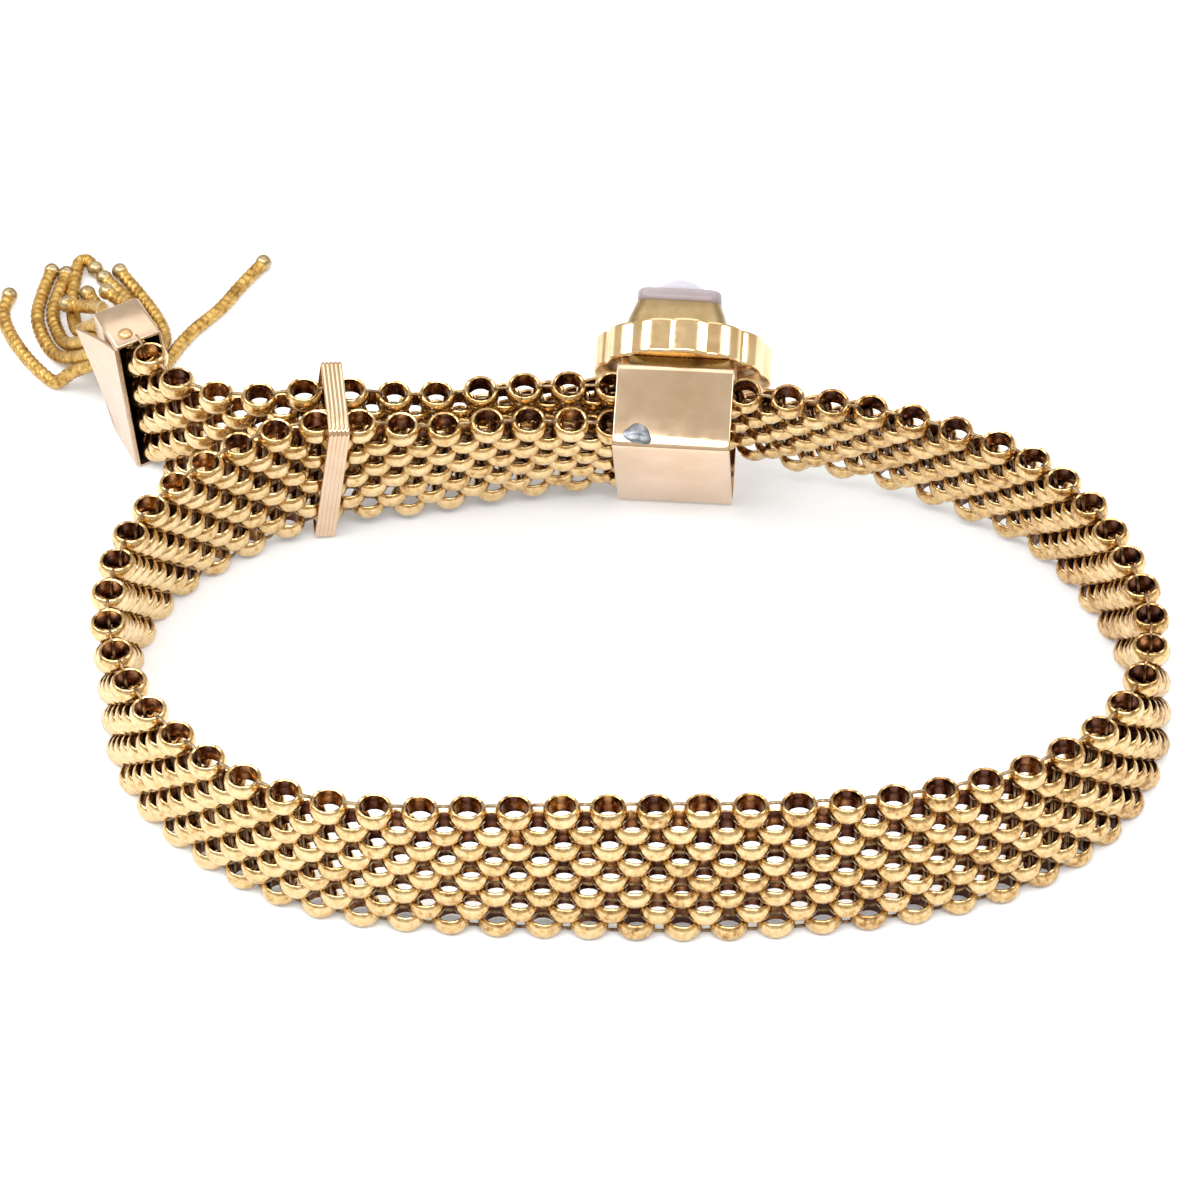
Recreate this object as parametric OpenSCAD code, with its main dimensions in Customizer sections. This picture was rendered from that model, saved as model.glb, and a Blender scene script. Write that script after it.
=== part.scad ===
// Slide bracelet of woven ring mesh, standing on its lower edge as it lies on a table.
// One long strap of gold ring mesh goes once round the wrist. Its fixed end sits inside the slide,
// and its free end runs back through the slide and the keeper to an end cap with a tassel.
// Millimetres, Z up, the surface is at z = 0 and the tassel lies behind, towards +Y.

/* [Mesh strap] */
// Width of the strap, from its lower edge to its upper edge
band_w = 10.8; // [8:0.1:13]
// Thickness of the strap over the rings
band_t = 2.64; // [2.2:0.02:3]
// Length of strap taken by one ring of a row
ring_pitch = 3; // [2.6:0.1:4]
// Number of rows of rings across the strap
ring_rows = 8; // [6:1:10]
// Depth to which the face of the strap sinks between two rings
ring_dip = 0.5; // [0.2:0.05:0.8]

/* [Slide] */
// Length of the slide's box along the strap
slide_l = 8.1; // [6:0.1:12]
// Thickness of the metal of the slide's box
slide_wall = 0.28; // [0.2:0.02:0.4]
// Radius of the box's long edges
slide_edge = 0.6; // [0.3:0.05:0.9]
// Lean of the slide towards the wrist, in degrees
slide_lean = 30; // [20:1:32]

/* [Ornament] */
// Thickness of the base plate between the box and the rosette
base_t = 0.8; // [0.4:0.1:1.2]
// Diameter of the rosette over its lobes
rosette_d = 12.6; // [10:0.1:16]
// Depth of the rosette's rim
rosette_t = 2.55; // [1.5:0.05:4]
// Number of lobes round the rosette
lobes = 14; // [8:1:18]
// Side of the square collet where it leaves the rosette
collet_w = 7.6; // [7:0.1:9]
// Height of the collet above the rosette
collet_h = 2.5; // [1:0.05:3]
// Side of the square stone at its girdle
stone_w = 5.85; // [4:0.05:6.4]
// Radius of the stone's corners
stone_corner = 0.8; // [0.4:0.1:1.4]
// Height of the stone's girdle above the collet
girdle_h = 0.9; // [0.4:0.05:1.5]
// Height of the dome on the stone
dome_h = 1.6; // [0.8:0.1:2.4]

/* [Keeper] */
// Width of the keeper's ribbon along the strap
keeper_l = 1.45; // [1:0.05:3]
// Thickness of the keeper's ribbon
keeper_wall = 0.3; // [0.2:0.02:0.5]
// Play of the strap's edges in the keeper
keeper_play = 1.3; // [0.4:0.1:1.5]

/* [End cap] */
// Length of the end cap along the strap
cap_l = 4.2; // [3.5:0.1:7]
// Thickness of the metal of the end cap
cap_wall = 0.24; // [0.2:0.02:0.4]
// Diameter of the rivet head on the cap's upper edge
rivet_d = 1.1; // [0.6:0.1:1.5]

/* [Tassel] */
// Diameter of one chain of the tassel
chain_d = 0.95; // [0.7:0.05:1.3]
// Diameter of the ball at the tip of each chain
tip_d = 1.25; // [1:0.05:1.6]

/* [Fits] */
// Clear space between the strap and what holds it
fit = 0.1; // [0.06:0.02:0.2]

/* [Hidden] */
$fn = 48;

gold = [0.83, 0.68, 0.42];
rose_gold = [0.88, 0.69, 0.52];
chain_gold = [0.80, 0.62, 0.27];
stone_grey = [0.80, 0.79, 0.84];

// The two layers of strap that run together through the slide and the keeper.
layer_step = band_t + fit;
pair_t = layer_step + band_t;

// The slide: a box that holds both layers, turned to the strap's way there.
slide_w = band_w + 2 * (fit + slide_wall);
slide_t = pair_t + 2 * (fit + slide_wall);
slide_at = [7.7, 8.05];
slide_way = 175.5;
fixed_end_in = 0.8;
straight = 0.6;
// The rosette and the collet sit a little off the middle of the box, and apart from each other.
rosette_shift = -0.2;
collet_shift = 0.25;
lobe_turn = -4;
seat_depth = 0.5;
seat_w = stone_w - 0.4;
seat_corner = stone_corner - 0.2;
base_in = 0.5;
solder = 0.12;

// The keeper: a thin ribbon bent round both layers.
keeper_w = band_w + keeper_play + 2 * keeper_wall;
keeper_gap = 0.22;
keeper_t = pair_t + 2 * (keeper_gap + keeper_wall);
keeper_at = [-16.4, 6];
keeper_way = 187;
strap_way = 190;
keeper_lean = 14.5;
keeper_turn = 5;
keeper_edge = 0.55;
groove = 0.05;

// The end cap: a box that is open towards the strap.
cap_gap = 0.25;
cap_w = band_w + 2 * (fit + cap_wall);
cap_t = band_t + fit + cap_gap + 2 * cap_wall;
cap_at = [-30.1, 14.5];
cap_way = 116;
cap_lean = 5.5;
cap_edge = 0.3;
cap_bore_edge = 0.15;
cap_flare = 1.3;
cap_drop = 0.5;
rivet_in = 0.95;
rivet_side = 0.6;
strap_end = cap_l / 2 - cap_wall - 4 * fit;

// Height of the middle of a piece w wide and t thick that leans on its lower edge.
function seat_z(w, t, lean) = w / 2 * cos(lean) + t / 2 * abs(sin(lean));

// Where a point p of a piece comes to lie, when the piece faces the way given and leans.
// p holds the distance along the strap, then towards the wrist, then up the strap's width.
function on_piece(at, way, lean, z, p) =
    let (y = p.y * cos(lean) + p.z * sin(lean), up = p.z * cos(lean) - p.y * sin(lean))
    [at.x + p.x * cos(way) - y * sin(way), at.y + p.x * sin(way) + y * cos(way), z + up];

slide_z = seat_z(slide_w, slide_t, slide_lean);
keeper_z = seat_z(keeper_w, keeper_t, keeper_lean);
cap_z = seat_z(cap_w, cap_t, cap_lean);
keeper_drop = keeper_play / 2 - 4.5 * fit;

// Each row of the strap's route is [x, y, z, lean]. These rows lie in the pieces that hold the strap;
// side is 1 for the layer next to the wrist and -1 for the layer outside it.
function slide_row(x, side) = concat(
    on_piece(slide_at, slide_way, slide_lean, slide_z, [x, side * layer_step / 2, 0]), slide_lean);
function keeper_row(x, side) = concat(on_piece(keeper_at, strap_way, keeper_lean, keeper_z,
    [x, side * layer_step / 2, -keeper_drop]), keeper_lean);
function cap_row(x) = concat(on_piece(cap_at, cap_way, cap_lean, cap_z,
    [x, (fit - cap_gap) / 2, 0]), cap_lean);

// Where both layers run side by side between the slide and the keeper: the middle of the pair's
// x and y, the way, the lean and the lift of the lower edge above the surface.
PAIR = [
    [-4.2, 8, 178, 24.5, 0.35],
    [-10.3, 7.1, 187, 20.5, 0.15],
];
// Between the two pieces the layer outside has slipped down a little.
pair_slip = 0.5;
function pair_row(r, side) = concat(on_piece(r, r[2], r[3], r[4] + seat_z(band_w, pair_t, r[3]),
    [0, side * layer_step / 2, min(side, 0) * pair_slip]), r[3]);

// The single strap round the wrist, from the keeper by the left, the front and the right to the
// slide: x, y, lean towards the wrist and lift of the lower edge.
LOOP = [
    [-21.5, 3, 7, 0.15], [-26.5, -1.5, 6.5, 0], [-29.3, -7, 3, 0], [-30.1, -13, -1, 0],
    [-29.3, -18.6, -2.5, 0], [-26.8, -24, -4, 0], [-22.8, -28.5, -6, 0], [-18, -31.7, -6.5, 0],
    [-12.5, -33.3, -4.5, 0], [-6, -33.7, -1.5, 0], [0, -33.8, 1, 0], [6, -33.9, 2.5, 0],
    [12, -33.8, 2, 0], [18, -33.3, 1, 0], [24, -32.2, 0, 0], [30, -30, -0.5, 0],
    [34.8, -26.3, -1, 0], [38, -21.3, 0.5, 0], [39.3, -15.3, 4.5, 0], [38.3, -9.2, 8, 0],
    [36.2, -3.5, 10.5, 0], [32.5, 1.9, 16.5, 0.1], [27.5, 5.1, 21, 0.4], [21.6, 7.5, 25.5, 0.9],
    [15.6, 8.3, 28, 1.5],
];
// The free tail between the keeper and the end cap, in the same columns.
TAIL = [
    [-20.7, 7.3, 12, 0.8], [-23.4, 7.8, 9, 0.25], [-25.8, 8.8, 7, 0.1], [-27.5, 10.4, 6, 0.1],
];
function free_row(r) = [r.x, r.y, r[3] + seat_z(band_w, band_t, r.z), r.z];

route = concat(
    [for (x = [fixed_end_in - slide_l / 2, 0, slide_l / 2 + straight]) slide_row(x, 1)],
    [for (r = PAIR) pair_row(r, 1)],
    [keeper_row(0, 1)],
    [for (r = LOOP) free_row(r)],
    [for (x = [-slide_l / 2 - straight, 0, slide_l / 2 + straight]) slide_row(x, -1)],
    [for (r = PAIR) pair_row(r, -1)],
    [keeper_row(0, -1)],
    [for (r = TAIL) free_row(r)],
    [for (x = [-cap_l / 2, strap_end]) cap_row(x)]
);

// A smooth curve through the rows of a list: each stretch is the cubic whose slope at a row is half
// the step between that row's neighbours.
function cubic(a, b, c, d, t) = b + t / 2 * (c - a)
    + t * t / 2 * (2 * a - 5 * b + 4 * c - d) + t * t * t / 2 * (3 * (b - c) + d - a);
function smooth(rows, steps) = let (last = len(rows) - 1) concat(
    [for (i = [0 : last - 1], k = [0 : steps - 1])
        let (a = i > 0 ? rows[i - 1] : 2 * rows[0] - rows[1],
            d = i + 1 < last ? rows[i + 2] : 2 * rows[last] - rows[last - 1])
        cubic(a, rows[i], rows[i + 1], d, k / steps)],
    [rows[last]]);
function place(r) = [r.x, r.y, r.z];
function running(rows) = [for (i = 0, s = 0; i < len(rows);
    s = s + (i + 1 < len(rows) ? norm(place(rows[i + 1]) - place(rows[i])) : 0), i = i + 1) s];

// Rows at equal distances along the curve, two to each ring, so that every second row lies at the
// middle of a ring.
fine = smooth(route, 10);
along = running(fine);
band_len = along[len(along) - 1];
cells = round(band_len / ring_pitch);
function at_length(s) = [for (c = [0 : 3]) lookup(s, [for (i = [0 : len(fine) - 1]) [along[i], fine[i][c]]])];
stations = [for (k = [0 : 2 * cells]) at_length(k * band_len / (2 * cells))];

// The strap's outline at a station, in the plane across it. The face stands out at the middle of a
// ring and sinks between two rings, and each row is half a ring on from its neighbour. The upper
// edge is scalloped, and the lower edge is straight, so that the strap stands on a flat face.
row_step = band_w / (ring_rows + 0.1);
function stands_out(k, row) = (k + row) % 2 == 0;
function face_t(k, row) = band_t / 2 - (stands_out(k, row) ? 0 : ring_dip);
function scallop_w(k, row) = band_w / 2 - (stands_out(k, row) ? 0 : row_step / 2);
function edge_t(k, row) = (stands_out(k, row) ? 0.86 : 0.4) * band_t / 2;
function outline(k) = let (top = ring_rows - 1) concat(
    [[edge_t(k, 0), -band_w / 2]],
    [for (r = [0 : top]) [face_t(k, r), (r - top / 2) * row_step]],
    [[edge_t(k, top), scallop_w(k, top)], [-edge_t(k, top), scallop_w(k, top)]],
    [for (r = [top : -1 : 0]) [-face_t(k, r), (r - top / 2) * row_step]],
    [[-edge_t(k, 0), -band_w / 2]]);

function unit(v) = v / norm(v);
// Unit directions across a curve at row i: away from the wrist, and up the strap's width.
function across(rows, i) = let (
    a = rows[max(i - 1, 0)],
    b = rows[min(i + 1, len(rows) - 1)],
    way = unit(place(b) - place(a)),
    out = unit(cross(way, [0, 0, 1])),
    up = cross(out, way),
    lean = rows[i][3])
    [out * cos(lean) + up * sin(lean), up * cos(lean) - out * sin(lean)];

// A solid swept through rings of points, with both ends closed. The split of each four-sided face
// runs between the two corners that lie lower.
module skin(rings) {
    n = len(rings[0]);
    m = len(rings);
    points = [for (ring = rings) each ring];
    faces = concat(
        [[for (j = [n - 1 : -1 : 0]) j]],
        [for (k = [0 : m - 2], j = [0 : n - 1])
            let (a = k * n + j, b = k * n + (j + 1) % n, c = b + n, d = a + n)
            each (k + j) % 2 == 0 ? [[a, b, d], [b, c, d]] : [[a, b, c], [a, c, d]]],
        [[for (j = [0 : n - 1]) (m - 1) * n + j]]);
    polyhedron(points, faces);
}

// Sets a piece that is drawn round the strap on its lower edge: X along the strap, Y to the wrist.
module stand(at, way, lean, z) {
    translate([at.x, at.y, z]) rotate([-lean, 0, way]) children();
}

// A rectangle t by w with round corners, drawn across the strap and as long as l.
module rounded_bar(l, t, w, r) {
    rotate([90, 0, 90]) linear_extrude(l, center = true) hull() {
        for (x = [-1, 1], y = [-1, 1]) translate([x * (t / 2 - r), y * (w / 2 - r)]) circle(r);
    }
}

module mesh_band() {
    color(gold) skin([for (k = [0 : len(stations) - 1])
        let (ax = across(stations, k), p = place(stations[k]))
        [for (q = outline(k)) p + q.x * ax[0] + q.y * ax[1]]]);
}

// Box, base, rosette, collet and the old repair are soldered together.
module slide() {
    color(rose_gold) stand(slide_at, slide_way, slide_lean, slide_z) {
        difference() {
            rounded_bar(slide_l, slide_t, slide_w, slide_edge);
            rounded_bar(2 * slide_l, slide_t - 2 * slide_wall, slide_w - 2 * slide_wall,
                slide_edge - slide_wall);
        }
        solder_repair();
        translate([rosette_shift, -slide_t / 2, 0]) rotate([90, 0, 0]) {
            base();
            translate([0, 0, base_t]) rosette();
        }
        translate([collet_shift, -slide_t / 2 - base_t - rosette_t, 0]) rotate([90, 0, 0]) collet();
    }
}
module solder_repair() {
    blob_d = 2.2;
    blob_h = 0.25;
    blob_in = 1.6;
    blob_side = 1.5;
    blob_r = (blob_d * blob_d / 4 + blob_h * blob_h) / (2 * blob_h);
    translate([slide_l / 2 - blob_in, slide_t / 2 - blob_side, slide_w / 2 + blob_h - blob_r])
        intersection() {
            sphere(blob_r);
            translate([0, 0, blob_r]) cylinder(h = 4 * blob_h, d = blob_d, center = true);
        }
}
module base() {
    translate([0, 0, -solder]) linear_extrude(base_t + 2 * solder)
        square([slide_l - 2 * base_in, slide_w - 2 * slide_edge], center = true);
}
module rosette() {
    lobe_d = PI * rosette_d / lobes * 1.05;
    linear_extrude(rosette_t) {
        circle(d = rosette_d - lobe_d);
        for (i = [0 : lobes - 1])
            rotate(90 + lobe_turn + 360 / lobes * i)
                translate([(rosette_d - lobe_d) / 2, 0]) circle(d = lobe_d);
    }
}
module rounded_square(w, r) {
    for (turn = [0, 90]) rotate(turn) square([w, w - 2 * r], center = true);
    for (x = [-1, 1], y = [-1, 1]) translate([x * (w / 2 - r), y * (w / 2 - r)]) circle(r);
}
module collet() {
    rim_w = stone_w + 0.1;
    difference() {
        hull() {
            translate([0, 0, -solder]) linear_extrude(solder) rounded_square(collet_w, stone_corner);
            translate([0, 0, collet_h - solder]) linear_extrude(solder)
                rounded_square(rim_w, stone_corner);
        }
        translate([0, 0, collet_h - seat_depth]) linear_extrude(2 * seat_depth)
            rounded_square(seat_w, seat_corner);
    }
}

// The stone stands in the collet: a square girdle with round corners and a low dome.
module stone() {
    dome_w = stone_w - 1;
    dome_r = (dome_w * dome_w / 4 + dome_h * dome_h) / (2 * dome_h);
    color(stone_grey) stand(slide_at, slide_way, slide_lean, slide_z)
        translate([collet_shift, -slide_t / 2 - base_t - rosette_t - collet_h, 0]) rotate([90, 0, 0]) {
            translate([0, 0, fit - seat_depth]) linear_extrude(seat_depth)
                rounded_square(seat_w - 2 * fit, seat_corner);
            translate([0, 0, fit / 2]) linear_extrude(girdle_h) rounded_square(stone_w, stone_corner);
            translate([0, 0, girdle_h]) intersection() {
                translate([0, 0, dome_h - dome_r]) sphere(dome_r);
                cylinder(h = 2 * dome_h, d = dome_w);
            }
        }
}

// A ribbon with fine grooves along it, bent round both layers of the strap.
module keeper() {
    strips = 5;
    strip = keeper_l / strips;
    color(rose_gold) stand(keeper_at, keeper_way, keeper_lean, keeper_z) rotate([0, -keeper_turn, 0])
        difference() {
            for (i = [0 : strips - 1]) {
                low = i % 2 == 0 ? 0 : 2 * groove;
                translate([(i - (strips - 1) / 2) * strip, 0, 0])
                    rounded_bar(strip, keeper_t - low, keeper_w - low, keeper_edge);
            }
            rounded_bar(2 * keeper_l, keeper_t - 2 * keeper_wall, keeper_w - 2 * keeper_wall,
                keeper_edge - keeper_wall);
        }
}

// A box closed at its far end, with the rivet head that holds the strap in it. The sheet on the
// wrist's side is a second layer, bent open at its upper far corner.
module end_cap() {
    color(rose_gold) stand(cap_at, cap_way, cap_lean, cap_z) {
        difference() {
            rounded_bar(cap_l, cap_t, cap_w, cap_edge);
            translate([-cap_wall, 0, 0])
                rounded_bar(cap_l, cap_t - 2 * cap_wall, cap_w - 2 * cap_wall, cap_bore_edge);
        }
        bent_sheet();
        translate([-cap_l / 2 + rivet_in, rivet_side, cap_w / 2]) intersection() {
            sphere(d = rivet_d);
            translate([0, 0, rivet_d / 2]) cube(rivet_d * 1.05, center = true);
        }
    }
}

module bent_sheet() {
    face = cap_t / 2;
    low = cap_edge - cap_w / 2;
    high = cap_w / 2 - cap_edge;
    skin([
        [[-cap_l / 2, face + cap_wall / 2, low], [-cap_l / 2, face - cap_wall / 2, low],
            [-cap_l / 2, face - cap_wall / 2, high], [-cap_l / 2, face + cap_wall / 2, high]],
        [[cap_l / 2, face + cap_wall / 2, low], [cap_l / 2, face - cap_wall / 2, low],
            [cap_l / 2, face + cap_flare - cap_wall, high - cap_drop],
            [cap_l / 2, face + cap_flare, high - cap_drop]]
    ]);
}

// The tassel's chains lie fanned out on the surface behind the cap. Each row is one chain: the side
// of the head that it leaves, the height there, and then its chosen points.
CHAINS = [
    [1, 4.8, [-33.3, 18.5, 4.2], [-35.2, 20.2, 2.2], [-36.8, 21, 0.5], [-38.6, 23.2, 0.5],
        [-40.2, 26.1, 0.5], [-41, 28.7, 0.5], [-40.7, 30.7, 0.65]],
    [1, 5.9, [-33.4, 18.7, 5.1], [-35.1, 21.1, 2.7], [-36.7, 23.6, 0.8], [-37.8, 25.7, 0.5],
        [-38.5, 28.3, 0.5], [-38.3, 31.1, 0.5], [-37.8, 33.5, 0.65]],
    [1, 7, [-33.3, 18.9, 6.2], [-34.8, 21.7, 3.6], [-36.1, 24.5, 1.2], [-37, 26.9, 0.5],
        [-37.4, 29.3, 0.5], [-36.7, 33.2, 0.65]],
    [1, 8.1, [-33.1, 19.1, 7.3], [-34.2, 22.3, 4.5], [-35.3, 25.3, 1.8], [-35.9, 28.6, 0.6],
        [-36.1, 31.3, 0.5], [-35.9, 34.3, 0.6], [-35.3, 34.7, 0.7], [-34.6, 33.7, 0.7]],
    [1, 9.2, [-32.7, 19.3, 8.4], [-33.2, 22.9, 5.8], [-34, 25.7, 3.6], [-35, 27.5, 2.2],
        [-36.3, 28.5, 1.6]],
    [-1, 7.8, [-31.6, 19.7, 6.9], [-32.2, 23.3, 4.4], [-33.2, 26.7, 2], [-34.2, 29.3, 0.8],
        [-35, 30.9, 0.65]],
    [-1, 5.6, [-30.9, 19.3, 4.7], [-29.6, 22.5, 2.2], [-29.1, 25.7, 0.6], [-29.7, 28.1, 0.5],
        [-31.1, 30.8, 0.5], [-32.8, 33.5, 0.65]],
    [-1, 6.7, [-31.2, 19.5, 5.8], [-30.2, 22.9, 3.2], [-30, 25.7, 1.5], [-30.8, 28.1, 0.6],
        [-32.3, 30.7, 0.5], [-33.9, 32.7, 0.65]],
    [-1, 8.9, [-31.3, 19.7, 8], [-30.9, 23.3, 5.1], [-31, 26.1, 2.9], [-32, 28.3, 1.7],
        [-33.5, 30.1, 1.5]],
    [-1, 4.5, [-30.4, 18.9, 3.5], [-29.2, 21.5, 1.3], [-28.5, 23.9, 0.5], [-27.2, 26.6, 0.5],
        [-25.2, 29.4, 0.5], [-23.8, 32.1, 0.5], [-22.3, 34.5, 0.65]],
];
head_l = 0.8;
head_h = 5.8;
head_z = 6.9;
head_x = cap_l / 2 + fit + head_l / 2;

// The chains hang from a small plate behind the end cap.
module tassel() {
    color(chain_gold) {
        stand(cap_at, cap_way, cap_lean, cap_z) translate([head_x, 0, head_z - cap_z])
            cube([head_l, 2 * chain_d, head_h], center = true);
        for (c = CHAINS) {
            root = on_piece(cap_at, cap_way, cap_lean, cap_z, [head_x, c[0] * chain_d / 2, c[1] - cap_z]);
            strand(concat([root], [for (i = [2 : len(c) - 1]) c[i]]));
        }
    }
}
function above_floor(r) = [r.x, r.y, max(r.z, 0.52 * chain_d)];
// A six-sided cord through the points, with a ball at its tip.
module strand(points) {
    sides = 6;
    rows = smooth([for (p = points) [p.x, p.y, p.z, 0]], 2);
    last = len(points) - 1;
    skin([for (k = [0 : len(rows) - 1]) let (ax = across(rows, k))
        [for (j = [0 : sides - 1])
            above_floor(rows[k]) + chain_d / 2 * (cos(60 * j) * ax[0] + sin(60 * j) * ax[1])]]);
    hull() {
        translate(points[last]) sphere(d = tip_d, $fn = 10);
        translate(points[last] - 0.7 * tip_d * unit(points[last] - points[last - 1]))
            sphere(d = 0.9 * chain_d, $fn = 8);
    }
}

mesh_band();
slide();
stone();
keeper();
end_cap();
tassel();
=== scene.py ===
import bpy
import numpy as np
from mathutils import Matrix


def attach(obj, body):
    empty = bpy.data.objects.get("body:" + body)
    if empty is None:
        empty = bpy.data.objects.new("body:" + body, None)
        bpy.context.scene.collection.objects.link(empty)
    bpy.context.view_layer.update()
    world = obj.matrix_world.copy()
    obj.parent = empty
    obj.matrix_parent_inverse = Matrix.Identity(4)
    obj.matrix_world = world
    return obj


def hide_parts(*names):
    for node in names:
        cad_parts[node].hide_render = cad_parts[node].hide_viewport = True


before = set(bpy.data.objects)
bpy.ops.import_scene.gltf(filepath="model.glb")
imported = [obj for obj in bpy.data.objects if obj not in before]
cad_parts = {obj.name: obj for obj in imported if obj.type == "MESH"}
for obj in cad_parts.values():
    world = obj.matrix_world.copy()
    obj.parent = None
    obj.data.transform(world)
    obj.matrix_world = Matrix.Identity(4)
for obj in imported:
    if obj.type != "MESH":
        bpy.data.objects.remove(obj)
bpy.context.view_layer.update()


# The table and the light: a sheet of white acrylic that glows a little, a narrow soft box above
# the camera, one on each side, a broad one behind and a warm tent all round. A long lens looks
# down on it at 42 degrees.
look_down = 42
camera = bpy.data.objects.new("camera", bpy.data.cameras.new("camera"))
camera.data.lens = 180
camera.data.sensor_width = 36
camera.data.clip_start = 0.01
camera.location = (0.00245, -0.30999, 0.27745)
camera.rotation_euler = (np.radians(90 - look_down), 0, 0)
bpy.context.scene.collection.objects.link(camera)
bpy.context.scene.camera = camera
bpy.context.scene.view_settings.view_transform = "Standard"

table_mesh = bpy.data.meshes.new("table")
table_mesh.from_pydata([(-2, -2, 0), (2, -2, 0), (2, 2, 0), (-2, 2, 0)], [], [(0, 1, 2, 3)])
table = bpy.data.objects.new("table", table_mesh)
bpy.context.scene.collection.objects.link(table)
acrylic = bpy.data.materials.new("white_acrylic")
acrylic.use_nodes = True
sheet = acrylic.node_tree.nodes["Principled BSDF"].inputs
sheet["Base Color"].default_value = (0.82, 0.86, 0.92, 1)
sheet["Roughness"].default_value = 0.8
sheet["Emission Color"].default_value = (0.97, 0.98, 1, 1)
sheet["Emission Strength"].default_value = 0.2
table_mesh.materials.append(acrylic)

tent = bpy.data.worlds.new("white_tent")
tent.use_nodes = True
tent.node_tree.nodes["Background"].inputs["Color"].default_value = (1, 0.94, 0.82, 1)
tent.node_tree.nodes["Background"].inputs["Strength"].default_value = 0.74
bpy.context.scene.world = tent


def soft_box(name, place, width, depth, watts):
    """A rectangular lamp at place that faces the middle of the table, width by depth metres. The
    tangent of its tilt is the level distance over the height, and its turn follows its place."""
    lamp = bpy.data.lights.new(name, "AREA")
    lamp.shape = "RECTANGLE"
    lamp.size, lamp.size_y, lamp.energy = width, depth, watts
    box = bpy.data.objects.new(name, lamp)
    box.location = place
    x, y, z = np.array(place, float)
    box.rotation_euler = (np.arctan2(np.hypot(x, y), z), 0, np.arctan2(x, -y))
    bpy.context.scene.collection.objects.link(box)


soft_box("soft_box_front", (-0.05, -0.3, 0.55), 0.7, 0.19, 2.9)
soft_box("soft_box_left", (-0.45, 0, 0.42), 0.3, 0.26, 1.3)
soft_box("soft_box_right", (0.45, 0, 0.42), 0.22, 0.26, 0.7)
soft_box("soft_box_back", (0, 0.3, 0.6), 0.7, 0.4, 1.0)


# The mesh strap: eight rows of short barrel-shaped rings, rolled from thin gold sheet; their dark
# insides are patina and painted shade. A ring stands half a ring on from those of the next row,
# and wire loops join them.
# The strap goes once round the wrist, back through the slide and the keeper, into the end cap.
mm = 0.001
band_w, band_t, band_rows, row_step, ring_count = 10.8, 2.64, 8, 1.38, 76
fit = 0.1
layer_step = band_t + fit
pair_t = layer_step + band_t

# Sizes are in mm and angles in degrees. The strap passes through the slide, the keeper and the
# cap, so their places come first: length and wall, lean towards the wrist, and way from above.
slide_l, slide_wall, slide_lean, slide_way = 8.1, 0.28, 30, 175.5
slide_w, slide_t = band_w + 2 * (fit + slide_wall), pair_t + 2 * (fit + slide_wall)
slide_at = (7.7, 8.05)
keeper_l, keeper_wall, keeper_lean, keeper_way = 1.45, 0.3, 14.5, 187
keeper_play, keeper_fit = 1.3, 0.22
keeper_w, keeper_t = band_w + keeper_play + 2 * keeper_wall, pair_t + 2 * (keeper_fit + keeper_wall)
keeper_at = (-16.4, 6)
cap_l, cap_wall, cap_lean, cap_way, cap_play = 4.2, 0.24, 5.5, 116, 0.25
cap_w, cap_t = band_w + 2 * (fit + cap_wall), band_t + fit + cap_play + 2 * cap_wall
cap_at = (-30.1, 14.5)


def seat_height(w, t, lean):
    """Height of the middle of a piece w wide and t thick that leans on its lower edge: half the
    width times the cosine of the lean, and half the thickness times its sine."""
    return w / 2 * np.cos(np.radians(lean)) + t / 2 * abs(np.sin(np.radians(lean)))


def on_piece(at, way, lean, height, points):
    """Where points (along the strap, towards the wrist, up the width) of a piece come to lie. They
    are leaned about the strap's line, turned to its way about the vertical, and moved there."""
    points = np.asarray(points, float)
    c, s = np.cos(np.radians(lean)), np.sin(np.radians(lean))
    side, up = points[..., 1] * c + points[..., 2] * s, points[..., 2] * c - points[..., 1] * s
    c, s = np.cos(np.radians(way)), np.sin(np.radians(way))
    return np.stack([at[0] + points[..., 0] * c - side * s, at[1] + points[..., 0] * s + side * c,
                     height + up], -1)


slide_z = seat_height(slide_w, slide_t, slide_lean)
keeper_z = seat_height(keeper_w, keeper_t, keeper_lean)
cap_z = seat_height(cap_w, cap_t, cap_lean)


def slide_row(x, side):
    """The strap's middle and lean at x along the slide: half the step between the layers to its
    side of the slide's middle, 1 towards the wrist and -1 away from it."""
    place = (x, side * layer_step / 2, 0)
    return [*on_piece(slide_at, slide_way, slide_lean, slide_z, place), slide_lean]


def pair_row(row, side):
    """The strap's middle and lean where both layers lie together: the pair's seat height and its
    lift, half a step to the layer's side, and the outer layer half a millimetre lower."""
    x, y, way, lean, lift = row
    place = (0, side * layer_step / 2, min(side, 0) * 0.5)
    return [*on_piece((x, y), way, lean, lift + seat_height(band_w, pair_t, lean), place), lean]


def keeper_row(side):
    """The strap's middle and lean in the keeper: half a step to the layer's side of its middle and
    a fifth of a millimetre below it, on a way that is three degrees off the keeper's own."""
    place = (0, side * layer_step / 2, -0.2)
    return [*on_piece(keeper_at, keeper_way + 3, keeper_lean, keeper_z, place), keeper_lean]


def free_row(row):
    """The strap's middle and lean where one layer stands alone: its seat height and its lift."""
    x, y, lean, lift = row
    return [x, y, lift + seat_height(band_w, band_t, lean), lean]


def cap_row(x):
    """The strap's middle and lean at x along the end cap: a little off the cap's middle, away from
    the wrist."""
    return [*on_piece(cap_at, cap_way, cap_lean, cap_z, (x, -0.075, 0)), cap_lean]


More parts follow.
